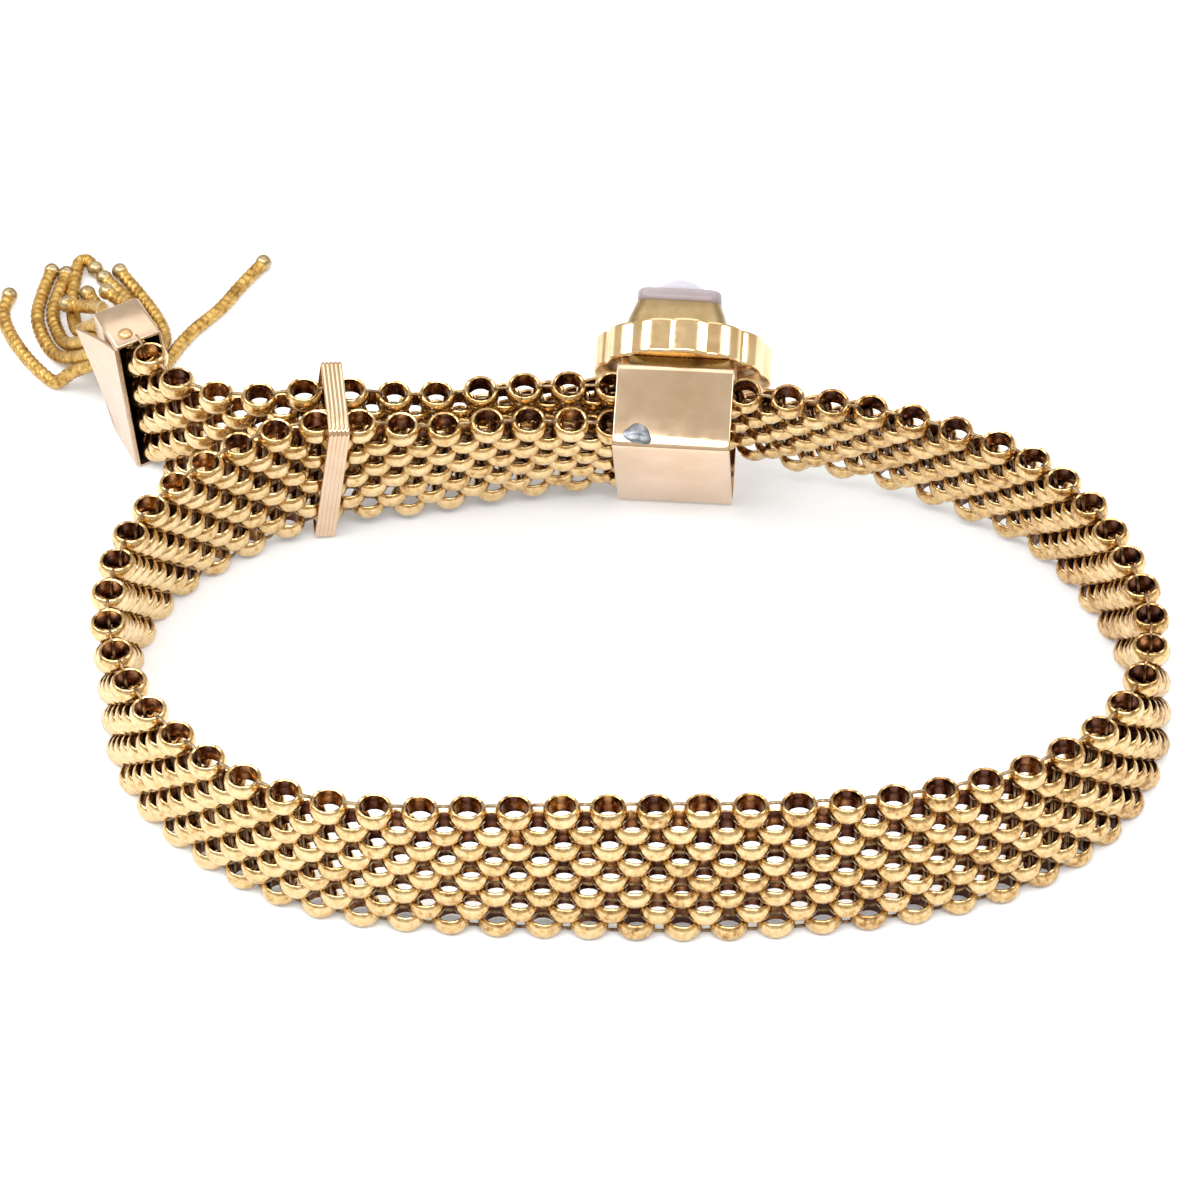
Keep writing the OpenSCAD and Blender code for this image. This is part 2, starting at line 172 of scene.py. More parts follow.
# The strap's route. A pair's row is x, y, way, lean and lift; a row of the loop round the wrist or
# of the tail to the end cap is x, y, lean and lift.
pair = [[-4.2, 8, 178, 24.5, 0.35], [-10.3, 7.1, 187, 20.5, 0.15]]
loop = [
    [-21.5, 3, 7, 0.15], [-26.5, -1.5, 6.5, 0], [-29.3, -7, 3, 0], [-30.1, -13, -1, 0],
    [-29.3, -18.6, -2.5, 0], [-26.8, -24, -4, 0], [-22.8, -28.5, -6, 0], [-18, -31.7, -6.5, 0],
    [-12.5, -33.3, -4.5, 0], [-6, -33.7, -1.5, 0], [0, -33.8, 1, 0], [6, -33.9, 2.5, 0],
    [12, -33.8, 2, 0], [18, -33.3, 1, 0], [24, -32.2, 0, 0], [30, -30, -0.5, 0],
    [34.8, -26.3, -1, 0], [38, -21.3, 0.5, 0], [39.3, -15.3, 4.5, 0], [38.3, -9.2, 8, 0],
    [36.2, -3.5, 10.5, 0], [32.5, 1.9, 16.5, 0.1], [27.5, 5.1, 21, 0.4], [21.6, 7.5, 25.5, 0.9],
    [15.6, 8.3, 28, 1.5],
]
tail = [[-20.7, 7.3, 12, 0.8], [-23.4, 7.8, 9, 0.25], [-25.8, 8.8, 7, 0.1], [-27.5, 10.4, 6, 0.1]]
# The first end stands in the slide, start from its mouth. The strap stays straight for mouth
# outside the slide, and its last end stops cap_gap short of the end cap's back.
start, mouth, cap_gap = 0.8, 0.6, 0.4
route = np.array(
    [slide_row(x, 1) for x in (start - slide_l / 2, 0, slide_l / 2 + mouth)]
    + [pair_row(row, 1) for row in pair] + [keeper_row(1)]
    + [free_row(row) for row in loop]
    + [slide_row(x, -1) for x in (-slide_l / 2 - mouth, 0, slide_l / 2 + mouth)]
    + [pair_row(row, -1) for row in pair] + [keeper_row(-1)]
    + [free_row(row) for row in tail]
    + [cap_row(x) for x in (-cap_l / 2, cap_l / 2 - cap_wall - cap_gap)]
)


def smooth(rows, steps):
    """A curve through rows, steps points to a stretch: on each stretch the cubic whose slope at a
    row is half the step between that row's neighbours."""
    rows = np.asarray(rows, float)
    more = np.vstack([2 * rows[0] - rows[1], rows, 2 * rows[-1] - rows[-2]])
    t = (np.arange(steps) / steps)[None, :, None]
    a, b, c, d = [more[i:len(more) - 3 + i][:, None] for i in range(4)]
    curve = b + t / 2 * (c - a) + t**2 / 2 * (2 * a - 5 * b + 4 * c - d) \
        + t**3 / 2 * (3 * (b - c) + d - a)
    return np.vstack([curve.reshape(-1, rows.shape[1]), rows[-1:]])


def running(line):
    """The length along a line of points at each point: the sum of the steps before it."""
    return np.concatenate([[0], np.cumsum(np.linalg.norm(np.diff(line[:, :3], axis=0), axis=1))])


middle = smooth(route, 10)
run = running(middle)


def strap_at(s):
    """The strap at lengths s: its middle, the level direction along it (from a point 0.4 mm before
    to one 0.4 mm after), the level direction away from the wrist, and the lean in radians."""
    at, back, on = [np.stack([np.interp(s + h, run, middle[:, c]) for c in range(4)], -1)
                    for h in (0, -0.4, 0.4)]
    along = (on - back)[..., :3] * (1, 1, 0)
    along /= np.linalg.norm(along, axis=-1, keepdims=True)
    away = np.stack([along[..., 1], -along[..., 0], 0 * along[..., 0]], -1)
    return at[..., :3], along, away, np.radians(at[..., 3])


def leaned(away, lean):
    """The direction up a piece that leans towards the wrist: upright times the cosine of the lean,
    less the direction away from the wrist times its sine."""
    return np.array([0, 0, 1.0]) * np.cos(lean)[..., None] - away * np.sin(lean)[..., None]


# How far the rings have crept along the strap from even spacing: ring number, then the creep in
# the top row and in the bottom row.
creep = np.array([
    [0, 1.6, 2.6], [6, 1.5, 2.3], [16, 1.1, 1.3], [24, 1.1, 1.4], [28, 0.8, 1.1], [34, 0.9, 1.2],
    [38, 1.3, 1.4], [42, 1.5, 1.5], [50, 1.5, 1.2], [53, 1.8, 1.0], [57, 2.9, 0.6], [60, 2.9, 1.1],
    [64, 3.5, 1.9], [67, 4.0, 3.5], [73, 4.1, 4.1], [76, 4.2, 4.2],
])
ring_pitch = run[-1] / (ring_count + 1)


def ring_run(number, row):
    """The length along the strap at which a ring number of a row stands: its number times the
    pitch, and the creep, shared between the top row's and the bottom row's."""
    share = row / (band_rows - 1)
    return number * ring_pitch + (1 - share) * np.interp(number, creep[:, 0], creep[:, 1]) \
        + share * np.interp(number, creep[:, 0], creep[:, 2])


def put_together(name, grid, wrap=True, lids=False, sharp=50, slots=None):
    """A mesh of a grid of points in mm: copies by rows by columns. Four neighbours make a face
    whose front is the way of the rows crossed with the way of the columns. The columns close on
    themselves, and so do the rows if wrap says so. Lids fan the first and last row to their mean.
    Edges past sharp degrees stay crisp, and slots gives the material of each face of a copy."""
    grid = np.asarray(grid, float)
    grid = grid[None] if grid.ndim == 3 else grid
    copies, n, m = grid.shape[:3]
    i, j = np.meshgrid(np.arange(n if wrap else n - 1), np.arange(m), indexing="ij")
    i2, j2 = (i + 1) % n, (j + 1) % m
    quads = np.stack([i * m + j, i2 * m + j, i2 * m + j2, i * m + j2], -1).reshape(-1, 4)
    first = np.arange(copies)[:, None, None]
    points, faces = grid.reshape(-1, 3), (quads + first * n * m).reshape(-1, 4).tolist()
    if lids:
        mid = np.concatenate([grid[:, 0].mean(1), grid[:, -1].mean(1)])
        k, last = np.arange(m), (n - 1) * m
        low = np.stack([k, (k + 1) % m, 0 * k], -1) + first * n * m
        high = np.stack([(k + 1) % m, k, 0 * k], -1) + first * n * m + [last, last, 0]
        low[..., 2] = len(points) + first[..., 0]
        high[..., 2] = len(points) + copies + first[..., 0]
        points = np.vstack([points, mid])
        faces += low.reshape(-1, 3).tolist() + high.reshape(-1, 3).tolist()
    mesh = bpy.data.meshes.new(name)
    mesh.from_pydata((points * mm).tolist(), [], faces)
    mesh.shade_smooth()
    mesh.set_sharp_from_angle(angle=np.radians(sharp))
    if slots is not None:
        mesh.polygons.foreach_set("material_index", np.tile(slots, copies).astype(np.int32))
    piece = bpy.data.objects.new(name, mesh)
    bpy.context.scene.collection.objects.link(piece)
    return piece


def nested(place):
    """How closely the rows stand at a place: 0.95 of their step in the slide, rising to 1 over a
    millimetre outside its mouths. The offset from the slide's middle, taken along its way and
    across it, tells how far in the place is."""
    c, s = np.cos(np.radians(slide_way)), np.sin(np.radians(slide_way))
    off = place[..., :2] - slide_at
    beside = abs(off @ (-s, c)) < slide_t / 2
    return 1 - 0.05 * (np.clip(slide_l / 2 + 1.3 - abs(off @ (c, s)), 0, 1) * beside)[..., None]


# A ring's section as radius and height, from its lower edge up the bulging outside and over the
# lip. The stretch from the last point back to the first is the dark inside.
ring_h, ring_bulge, ring_lip, ring_sides = 1.36, 1.31, 1.03, 16
ring_section = np.array([
    [0.9, -ring_h / 2], [1.1, -0.52], [1.25, -0.27], [ring_bulge, 0.02], [1.28, 0.29], [1.19, 0.52],
    [1.1, 0.655], [ring_lip, ring_h / 2], [0.94, 0.62],
])
rings = np.array([(k + row % 2 / 2, row)
                  for row in range(band_rows) for k in range(ring_count - row % 2)])

# Where the rings stand: each hangs loose in its wires, so it leans about half as much as the strap
# and is a little out of place (mm) and out of true (radians, across the strap and along it).
mesh_lift, slack_lean = 0.1, 0.55
loose_place, loose_lean, loose_tip = 0.02, 0.03, 0.025
luck = np.random.default_rng(7)
at, along, away, lean = strap_at(ring_run(rings[:, 0], rings[:, 1]))
row_height = (band_rows / 2 - 0.5 - rings[:, 1]) * row_step + mesh_lift
ring_at = at + nested(at) * leaned(away, lean) * row_height[:, None]
ring_at = ring_at + luck.normal(0, loose_place, ring_at.shape)
ring_lean = lean * slack_lean + luck.normal(0, loose_lean, len(lean))
axis = leaned(away, ring_lean) + along * luck.normal(0, loose_tip, (len(lean), 1))
axis /= np.linalg.norm(axis, axis=-1, keepdims=True)
side = np.cross(axis, along)
side /= np.linalg.norm(side, axis=-1, keepdims=True)
front = np.cross(side, axis)
turn = np.arange(ring_sides) * 2 * np.pi / ring_sides
spoke = front[:, None] * np.cos(turn)[None, :, None] + side[:, None] * np.sin(turn)[None, :, None]
ring_grid = ring_at[:, None, None] + spoke[:, :, None] * ring_section[None, None, :, :1] \
    + axis[:, None, None] * ring_section[None, None, :, 1:]

# Every piece keeps clear of the table by a hundredth of a millimetre: a lower ring is lifted.
clear = 0.01
ring_grid[..., 2] += np.maximum(0, clear - ring_grid[..., 2].min((1, 2)))[:, None, None]
inside = np.tile([0] * (len(ring_section) - 1) + [1], ring_sides)
mesh_rings = put_together("mesh_rings", ring_grid, slots=inside)


def node(tree, kind, place, **values):
    """A node of a kind in a tree. Values name its settings, or its inputs by their place: in a
    noise, 2 is its scale, 3 its detail and 4 its roughness."""
    made = tree.nodes.new(kind)
    made.location = place
    for key, value in values.items():
        if key.startswith("in_"):
            made.inputs[int(key[3:])].default_value = value
        else:
            setattr(made, key, value)
    return made


def aged_metal(name, shades, grain, rough, bump, tone=None):
    """Metal with a skin of wear. A noise in the piece's own coordinates picks among the shades,
    darkest first, and dents the surface, and one five times as fine sets the roughness between
    its two bounds. tone names a number kept with each point that shifts the noise's pick."""
    material = bpy.data.materials.new(name)
    material.use_nodes = True
    tree = material.node_tree
    shader = tree.nodes["Principled BSDF"]
    shader.inputs["Metallic"].default_value = 1
    place = node(tree, "ShaderNodeTexCoord", (-1100, 0))
    blotch = node(tree, "ShaderNodeTexNoise", (-900, 200), in_2=grain, in_3=5.0, in_4=0.62)
    speck = node(tree, "ShaderNodeTexNoise", (-900, -100), in_2=grain * 5, in_3=3.0, in_4=0.6)
    tree.links.new(place.outputs["Object"], blotch.inputs["Vector"])
    tree.links.new(place.outputs["Object"], speck.inputs["Vector"])
    ramp = node(tree, "ShaderNodeValToRGB", (-600, 200))
    while len(ramp.color_ramp.elements) < len(shades):
        ramp.color_ramp.elements.new(0.5)
    for step, (shade, stop) in enumerate(zip(shades, ramp.color_ramp.elements)):
        stop.position = 0.34 + 0.3 * step / (len(shades) - 1)
        stop.color = (*shade, 1)
    source = blotch.outputs["Fac"]
    if tone:
        each = node(tree, "ShaderNodeAttribute", (-900, 450), attribute_name=tone)
        mixed = node(tree, "ShaderNodeMath", (-750, 350), operation="ADD")
        tree.links.new(each.outputs["Fac"], mixed.inputs[0])
        tree.links.new(blotch.outputs["Fac"], mixed.inputs[1])
        source = mixed.outputs[0]
    tree.links.new(source, ramp.inputs["Fac"])
    tree.links.new(ramp.outputs["Color"], shader.inputs["Base Color"])
    dull = node(tree, "ShaderNodeMapRange", (-600, -100),
                in_1=0.35, in_2=0.65, in_3=rough[0], in_4=rough[1])
    tree.links.new(speck.outputs["Fac"], dull.inputs["Value"])
    tree.links.new(dull.outputs["Result"], shader.inputs["Roughness"])
    dent = node(tree, "ShaderNodeBump", (-300, -300))
    dent.inputs["Strength"].default_value = bump
    dent.inputs["Distance"].default_value = 0.00005
    tree.links.new(blotch.outputs["Fac"], dent.inputs["Height"])
    tree.links.new(dent.outputs["Normal"], shader.inputs["Normal"])
    return material


# The tone of each point: the ring's own, by chance, plus painted light that makes the rings paler
# towards the left of the loop and darker to the right. On its section it is paler on the bulge and
# darker at the lower edge and the lip's inside: wear and patina, with painted light and shade.
# The rise to the left is painted light and the fall to the right painted shade.
ring_tone_and_painted_light = luck.uniform(-0.06, 0.06, len(rings)) - 0.0016 * ring_at[:, 0]
# The section's paler bulge and darker edges are wear and patina with painted light and shade.
section_wear_and_shade = np.array([-0.15, -0.05, 0.02, 0.05, 0.04, 0.02, 0.0, -0.03, -0.1])
point_tone_and_shade = ring_tone_and_painted_light[:, None, None] + np.tile(section_wear_and_shade, (ring_sides, 1))
each_tone_and_shade = mesh_rings.data.attributes.new("ring_tone_and_painted_light", "FLOAT", "POINT")
each_tone_and_shade.data.foreach_set("value", point_tone_and_shade.astype(np.float32).ravel())
mesh_rings.data.materials.append(aged_metal(
    "pale_gold", [(0.36, 0.19, 0.07), (0.6, 0.39, 0.17), (0.71, 0.5, 0.24), (0.78, 0.58, 0.32)],
    2200, (0.13, 0.26), 0.3, "ring_tone_and_painted_light"))
# The insides' dark colours are patina together with painted shade.
mesh_rings.data.materials.append(aged_metal(
    "dark_inside", [(0.12, 0.05, 0.035), (0.28, 0.12, 0.05), (0.56, 0.28, 0.1), (0.85, 0.56, 0.24)],
    600, (0.16, 0.3), 0.2, "ring_tone_and_painted_light"))
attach(mesh_rings, "root")
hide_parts("mesh_band")


# The wire loops of the mesh: each is a closed oblong of thin gold wire. It lies over the gap
# between two rings, runs down inside both, through the ring below the gap and inside the next two,
# and closes under them.
wire_d, wire_sides, loop_points, half_long, over_ring = 0.24, 6, 16, 0.66, 0.06
gaps = np.array([(k + row % 2 / 2 + 0.5, row)
                 for row in range(band_rows - 2) for k in range(ring_count - 1 - row % 2)])

# A loop's line is a squared circle: the cosine along the strap and the sine up it, each drawn out
# to its power of 0.45. Its half height reaches over the rings above and below its middle row.
turn = (np.arange(loop_points) + 0.5) * 2 * np.pi / loop_points
round_long = np.sign(np.cos(turn)) * abs(np.cos(turn)) ** 0.45
round_high = np.sign(np.sin(turn)) * abs(np.sin(turn)) ** 0.45
half_high = row_step + ring_h / 2 + wire_d / 2 - over_ring
s = ring_run(gaps[:, :1], gaps[:, 1:] + 1 - round_high[None]) + half_long * round_long[None]
at, along, away, lean = strap_at(s)
up = leaned(away, lean)
wire_height = (band_rows / 2 - 1.5 - gaps[:, 1:]) * row_step \
    + half_high * round_high[None] + mesh_lift
wire_at = at + nested(at) * up * wire_height[..., None]
wire_at[..., 2] = np.maximum(wire_at[..., 2], wire_d / 2 + 2 * clear)
flow = np.roll(wire_at, -1, 1) - np.roll(wire_at, 1, 1)
flow /= np.linalg.norm(flow, axis=-1, keepdims=True)
out = np.cross(flow, np.cross(along, up))
out /= np.linalg.norm(out, axis=-1, keepdims=True)
across = np.cross(out, flow)
turn = np.arange(wire_sides) * 2 * np.pi / wire_sides
wire_grid = wire_at[:, :, None] + wire_d / 2 * (
    out[:, :, None] * np.cos(turn)[:, None] + across[:, :, None] * np.sin(turn)[:, None])
mesh_wires = put_together("mesh_wires", wire_grid, sharp=80)
mesh_wires.data.materials.append(
    aged_metal("dull_wire", [(0.12, 0.06, 0.03), (0.5, 0.36, 0.2)], 2500, (0.25, 0.4), 0.1))
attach(mesh_wires, "root")


# The slide: a flat box of polished rose gold sheet that both layers of the strap pass through. Its
# upper edges are worn to slopes. An old repair has left a grey lump of solder on its upper side.
def rounded(w, h, r, steps=6):
    """The outline of a rectangle w by h with corners of radius r, anticlockwise, steps to a corner:
    the corners' arcs about points that lie r in from both sides."""
    angle = np.radians(np.linspace(0, 90, steps))[None] + np.radians([[0], [90], [180], [270]])
    mid = np.array([[1, 1], [-1, 1], [-1, -1], [1, -1]]) * (w / 2 - r, h / 2 - r)
    return (mid[:, None] + r * np.stack([np.cos(angle), np.sin(angle)], -1)).reshape(-1, 2)


def sleeve(w, t, r, rows):
    """A tube round the strap's line, t by w with corners of radius r. Its rows hold the place along
    the line and how far in from the outside the outline lies there."""
    return np.stack([np.insert(rounded(t - 2 * d, w - 2 * d, max(r - d, 0.06)), 0, x, axis=1)
                     for x, d in rows])


def on_slide(points):
    """Where points of the slide come to lie, leaned, turned and moved as the whole slide is."""
    return on_piece(slide_at, slide_way, slide_lean, slide_z, points)


# The rows run along the slide's outside, round one mouth, back inside and round the other mouth.
half, lip, lip_mid, burr, slide_corner = slide_l / 2, 0.09, 0.03, 0.04, 0.6
slide_rows = [
    (half - lip, 0), (lip - half, 0), (lip_mid - half, lip_mid), (-half, lip),
    (-half, slide_wall - burr), (burr - half, slide_wall), (half - burr, slide_wall),
    (half, slide_wall - burr), (half, lip), (half - lip_mid, lip_mid),
]
slide_grid = sleeve(slide_w, slide_t, slide_corner, slide_rows)

# The outside's two upper edges are worn: how far in and how far down each point of the edge lies,
# on the wrist's side (front) and away from it (back).
depth = np.array([d for x, d in slide_rows if d <= lip])[:, None]
outer = [k for k, (x, d) in enumerate(slide_rows) if d <= lip]
worn_front = np.array(
    [[0, 0.42], [0.03, 0.27], [0.1, 0.16], [0.2, 0.105], [0.55, 0.045], [0.95, 0]])
worn_back = np.array([[0.5, 0], [0.25, 0.05], [0.12, 0.1], [0.05, 0.17], [0.02, 0.25], [0, 0.35]])
slide_grid[outer, :6, 1] = slide_t / 2 - depth - worn_front[:, 0]
slide_grid[outer, :6, 2] = slide_w / 2 - depth - worn_front[:, 1]
slide_grid[outer, 6:12, 1] = depth + worn_back[:, 0] - slide_t / 2
slide_grid[outer, 6:12, 2] = slide_w / 2 - depth - worn_back[:, 1]
slide_box = put_together("slide_box", on_slide(slide_grid), sharp=60)
rose = aged_metal(
    "rose_gold", [(0.7, 0.5, 0.33), (0.76, 0.57, 0.41), (0.8, 0.62, 0.46)], 160, (0.1, 0.16), 0.03)
slide_box.data.materials.append(rose)
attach(slide_box, "root")
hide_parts("slide")

# The solder's edge is a circle drawn in and out by waves of two, three and five to the turn, and
# its points are shares of the way to it. It thins to nothing there, in a power of one less the
# share squared, and bends down with the slide's rounded edge.
lump_sides, lump_r, lump_t, lump_at = 28, 0.86, 0.2, (half - 1.75, slide_t / 2 - 0.95)
angle = np.arange(lump_sides) * 2 * np.pi / lump_sides
share = np.array([1, 0.92, 0.78, 0.6, 0.4, 0.2, 0.06])[:, None]
reach = lump_r + 0.12 * np.cos(2 * angle + 0.6) + 0.1 * np.cos(3 * angle - 1) \
    + 0.05 * np.cos(5 * angle)
lump = np.stack([share * reach * np.cos(angle), share * reach * np.sin(angle) * 0.95], -1) + lump_at
drop = np.clip(lump[..., 1] - (slide_t / 2 - slide_corner), 0, slide_corner - 0.01)
waves = 1 + 0.2 * np.cos(3 * angle + 2) + 0.12 * np.cos(4 * angle)
thick = lump_t * (1 - share**2) ** 0.6 * waves - 0.02
lump_up = slide_w / 2 - slide_corner + np.sqrt(slide_corner**2 - drop**2) + thick
lump_grid = on_slide(np.concatenate([lump, lump_up[..., None]], -1))
solder_lump = put_together("solder_lump", lump_grid, wrap=False, lids=True, sharp=80)
solder_lump.data.materials.append(aged_metal(
    "grey_solder", [(0.16, 0.17, 0.19), (0.26, 0.28, 0.31), (0.42, 0.44, 0.48)],
    900, (0.36, 0.5), 0.2))
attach(solder_lump, "root")
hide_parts("slide")


# The ornament on the slide: a plain base plate, a rosette cut out in fourteen shallow lobes and a
# four-sided collet that narrows to the stone, all soldered one on the other.
def on_face(layers, shift):
    """Outlines (along the strap, up the width) at their heights above the slide's outer face, from
    the highest to the lowest, and moved by shift along the strap."""
    return on_slide(np.stack([
        np.column_stack([line[:, 0] + shift, np.full(len(line), -slide_t / 2 - h), line[:, 1]])
        for line, h in layers]))


base_t, base_l, base_w, base_bevel = 0.8, slide_l - 1, slide_w - 1.2, 0.08
rosette_shift, collet_shift = -0.2, 0.25
base_line = rounded(base_l, base_w, 0.15)
base_top = rounded(base_l - 2 * base_bevel, base_w - 2 * base_bevel, 0.1)
base_plate = put_together(
    "base_plate", on_face([(base_top, base_t), (base_line, base_t - base_bevel), (base_line, 0)],
                          rosette_shift), wrap=False, lids=True)

# A lobe's edge is an arc of lobe_r about a point that is lobe_mid from the rosette's middle. A ray
# at the angle off from that point meets it at lobe_mid times the cosine, plus the root of lobe_r
# squared less the square of lobe_mid times the sine.
rosette_d, rosette_t, lobes, lobe_steps, lobe_r, first_lobe = 12.6, 2.55, 14, 14, 2.5, 82
lobe_mid = rosette_d / 2 - lobe_r
turn = np.arange(lobes * lobe_steps) * 2 * np.pi / (lobes * lobe_steps)
off = (turn * lobes / (2 * np.pi) % 1 - 0.5) * 2 * np.pi / lobes
edge_r = lobe_mid * np.cos(off) + np.sqrt(lobe_r**2 - (lobe_mid * np.sin(off)) ** 2)
ray = turn + np.radians(first_lobe)
lobe_line = edge_r[:, None] * np.stack([np.cos(ray), np.sin(ray)], -1)

# The rosette's layers are a share of that edge and a height, its face first.
top = base_t + rosette_t
rosette_layers = [
    (0.7, top + 0.1), (0.9, top + 0.05), (0.97, top), (0.993, top - 0.06), (1, top - 0.16),
    (1, top - 0.26), (1, base_t + 0.26), (1, base_t + 0.14), (0.985, base_t + 0.03), (0.94, base_t),
]
rosette = put_together(
    "rosette", on_face([(lobe_line * k, h) for k, h in rosette_layers], rosette_shift),
    wrap=False, lids=True, sharp=42)

# The collet's layers are a width, the radius of its corners and a height, the sunk seat first.
collet_w, collet_h, stone_w, stone_corner = 7.6, 2.5, 5.85, 0.8
collet_layers = [
    (5.3, 0.6, collet_h - 0.5), (5.6, 0.75, collet_h - 0.02), (stone_w, stone_corner, collet_h),
    (6.0, 0.85, collet_h - 0.1), (6.75, 0.95, collet_h / 2), (collet_w - 0.1, 1, 0.08),
    (collet_w, 1, 0),
]
collet = put_together(
    "collet", on_face([(rounded(w, w, r), top + h) for w, r, h in collet_layers], collet_shift),
    wrap=False, lids=True)
# The base plate's dark colour is painted shade under the rosette.
painted_shade_gold = aged_metal(
    "painted_shade_gold", [(0.08, 0.04, 0.015), (0.3, 0.18, 0.06)], 300, (0.2, 0.3), 0.1)
yellow_gold = aged_metal(
    "yellow_gold", [(0.7, 0.47, 0.24), (0.86, 0.64, 0.38)], 260, (0.12, 0.2), 0.04)
# The collet's gold is the rosette's at about half its brightness: painted shade.
painted_shade_yellow_gold = aged_metal(
    "painted_shade_yellow_gold", [(0.34, 0.24, 0.12), (0.44, 0.33, 0.18)], 400, (0.3, 0.4), 0.1)
for piece, gold in ((base_plate, painted_shade_gold), (rosette, yellow_gold), (collet, painted_shade_yellow_gold)):
    piece.data.materials.append(gold)
    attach(piece, "root")
    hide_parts("slide")


# The stone: milky and grey with a touch of lilac, cut as a square slab with round corners and a low
# dome on it, polished, and set in the collet. It is cloudy inside, and paler in the dome.
seat, slab_h, dome_r, dome_h, corner_steps = top + collet_h, 0.95, 2.4, 1.5, 8

# The dome is cut from a ball whose radius is the sum of the squares of the dome's radius and height
# over twice its height. A layer of the stone is a width, the radius of its corners and a height.
ball_r = (dome_r**2 + dome_h**2) / (2 * dome_h)
dome = [(2 * r, r, slab_h + np.sqrt(ball_r**2 - r**2) - ball_r + dome_h)
        for r in (0.12, 0.6, 1.1, 1.6, 2.0, 2.25, dome_r)]
stone_layers = dome + [
    (5.4, 0.75, 0.94), (5.72, 0.78, 0.9), (stone_w, stone_corner, 0.78),
    (stone_w, stone_corner, 0.12), (5.7, 0.78, 0.02), (5.2, 0.6, -0.4),
]
stone_grid = on_face(
    [(rounded(w, w, r, corner_steps), seat + h) for w, r, h in stone_layers], collet_shift)
milky_stone = put_together("milky_stone", stone_grid, wrap=False, lids=True, sharp=60)

# Each point keeps how high it is in the dome, from 0 to 1. The shade follows that and a cloud.
rise = milky_stone.data.attributes.new("rise", "FLOAT", "POINT")
heights = np.repeat([np.clip((h - 0.6) / 1.4, 0, 1) for w, r, h in stone_layers], 4 * corner_steps)
rise.data.foreach_set("value", np.concatenate([heights, [1, 0]]).astype(np.float32))
milky = bpy.data.materials.new("milky_stone")
milky.use_nodes = True
tree = milky.node_tree
shader = tree.nodes["Principled BSDF"]
place = node(tree, "ShaderNodeTexCoord", (-1100, 0))
cloud = node(tree, "ShaderNodeTexNoise", (-900, 100), in_2=350.0, in_3=4.0, in_4=0.6)
high = node(tree, "ShaderNodeAttribute", (-900, 350), attribute_name="rise")
mixed = node(tree, "ShaderNodeMath", (-700, 250), operation="MULTIPLY_ADD")
mixed.inputs[1].default_value = 0.35
ramp = node(tree, "ShaderNodeValToRGB", (-500, 250))
ramp.color_ramp.elements[0].position, ramp.color_ramp.elements[1].position = 0.12, 0.75
ramp.color_ramp.elements[0].color = (0.29, 0.23, 0.24, 1)
ramp.color_ramp.elements[1].color = (0.62, 0.6, 0.7, 1)
tree.links.new(place.outputs["Object"], cloud.inputs["Vector"])
tree.links.new(cloud.outputs["Fac"], mixed.inputs[0])
tree.links.new(high.outputs["Fac"], mixed.inputs[2])
tree.links.new(mixed.outputs[0], ramp.inputs["Fac"])
tree.links.new(ramp.outputs["Color"], shader.inputs["Base Color"])
shader.inputs["Roughness"].default_value = 0.3
shader.inputs["Specular IOR Level"].default_value = 0.3
shader.inputs["Transmission Weight"].default_value = 0.15
shader.inputs["IOR"].default_value = 1.52
milky_stone.data.materials.append(milky)
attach(milky_stone, "root")
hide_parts("stone")


# The keeper: a band of rose gold with five fine ridges along it, bent round both layers of the
# strap and soldered where its ends meet.
half, ridges, groove, burr, keeper_turn = keeper_l / 2, 5, 0.06, 0.03, 5

# Between two ridges the outside lies in by the groove's depth times one less a power of the sine.
keeper_rows = [(half - keeper_l * t, groove * (1 - abs(np.sin(ridges * np.pi * t)) ** 0.7) + 0.01)
               for t in np.linspace(0, 1, 26)]
keeper_rows += [(-half, keeper_wall - burr), (burr - half, keeper_wall),
                (half - burr, keeper_wall), (half, keeper_wall - burr)]
keeper_grid = sleeve(keeper_w, keeper_t, 0.55, keeper_rows)

# It sits askew on the strap, turned by keeper_turn about the line that points at the wrist.
c, s = np.cos(np.radians(-keeper_turn)), np.sin(np.radians(-keeper_turn))
keeper_grid = np.stack([keeper_grid[..., 0] * c + keeper_grid[..., 2] * s, keeper_grid[..., 1],
                        keeper_grid[..., 2] * c - keeper_grid[..., 0] * s], -1)
keeper_grid = on_piece(keeper_at, keeper_way, keeper_lean, keeper_z, keeper_grid)
keeper = put_together("ridged_keeper", keeper_grid, sharp=60)
keeper.data.materials.append(rose)
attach(keeper, "root")
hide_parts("keeper")


# The end cap: a flat box of rose gold sheet, closed behind, that holds the end of the strap with a
# rivet; its inside is painted near black as painted shade. The sheet on the wrist's side is a
# second layer that has bent away.
def on_cap(points):
    """Where points of the end cap come to lie, leaned, turned and moved as the whole cap is."""
    return on_piece(cap_at, cap_way, cap_lean, cap_z, points)


# The box's rows run from the closed back along the outside, round the mouth and in to the back's
# inner side. Its five outer strips and the back take the first metal, and the inside the second.
half = cap_l / 2
cap_rows = [
    (half, 0.1), (half - 0.03, 0.03), (half - 0.1, 0), (0.05 - half, 0), (-half, 0.05),
    (-half, cap_wall - 0.03), (0.03 - half, cap_wall), (half - cap_wall, cap_wall),
]
cap_grid = sleeve(cap_w, cap_t, 0.3, cap_rows)
strips, back, inner_back = [0, 0, 0, 0, 0, 1, 1], 0, 1
cap_box = put_together("cap_box", on_cap(cap_grid), wrap=False, lids=True, sharp=60,
                       slots=np.repeat([*strips, back, inner_back], cap_grid.shape[1]))

